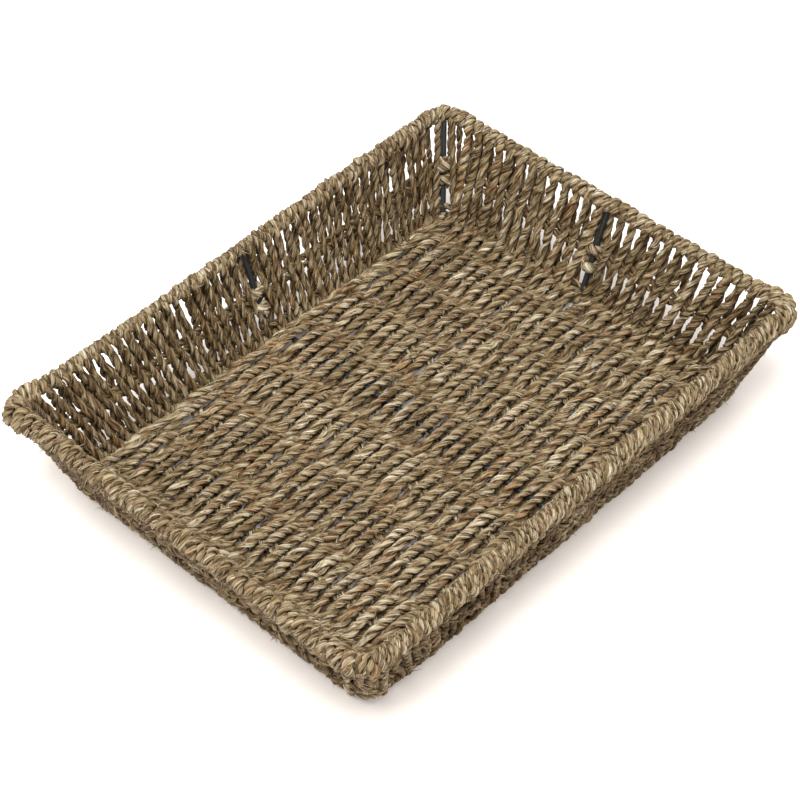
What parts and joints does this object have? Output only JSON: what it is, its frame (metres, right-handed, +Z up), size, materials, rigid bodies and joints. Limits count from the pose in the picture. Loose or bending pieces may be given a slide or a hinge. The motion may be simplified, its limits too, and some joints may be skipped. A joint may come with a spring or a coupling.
{
  "type": "bread basket",
  "caption": "Shallow rectangular bread basket of plant-fibre cord laced over a welded rod frame, with flared open walls and a woven floor.",
  "frame": {"origin": "middle of the base, on the plane that the basket stands on", "axes": "+X along the long way, +Y across it towards the back long wall, +Z up"},
  "size_m": [0.4, 0.307, 0.078],
  "materials": {
    "steel_rod": "satin black paint",
    "rim_cord": "dry twisted seagrass, straw and olive",
    "wall_cord": "dry twisted seagrass, darker olive brown",
    "floor_cord": "dry twisted seagrass, pale straw"
  },
  "bodies": {
    "root": {"rim_wire": "steel_rod", "base_wire": "steel_rod", "cross_wire": "steel_rod", "side_upright_back": "steel_rod", "side_upright_left": "steel_rod", "side_upright_front": "steel_rod", "side_upright_right": "steel_rod", "corner_upright_back_right": "steel_rod", "corner_upright_back_left": "steel_rod", "corner_upright_front_left": "steel_rod", "corner_upright_front_right": "steel_rod", "rim_binding_back": "rim_cord", "rim_binding_left": "rim_cord", "rim_binding_front": "rim_cord", "rim_binding_right": "rim_cord", "rim_corner_turns_back_right": "rim_cord", "rim_corner_turns_back_left": "rim_cord", "rim_corner_turns_front_left": "rim_cord", "rim_corner_turns_front_right": "rim_cord", "base_binding_back": "wall_cord", "base_binding_front": "wall_cord", "base_corner_turns": "wall_cord", "wall_lacing_back": "wall_cord", "wall_lacing_left": "wall_cord", "wall_lacing_front": "wall_cord", "wall_lacing_right": "wall_cord", "corner_lacing_back_right": "wall_cord", "corner_lacing_back_left": "wall_cord", "corner_lacing_front_left": "wall_cord", "corner_lacing_front_right": "wall_cord", "waist_cord_upper": "wall_cord", "waist_cord_lower": "wall_cord", "upright_ties": "rim_cord", "floor_cord": "floor_cord", "cross_cord_1": "floor_cord", "cross_cord_2": "floor_cord", "cross_cord_3": "floor_cord", "cross_cord_4": "floor_cord", "cross_cord_5": "floor_cord", "cross_cord_6": "floor_cord"}
  },
  "joints": []
}
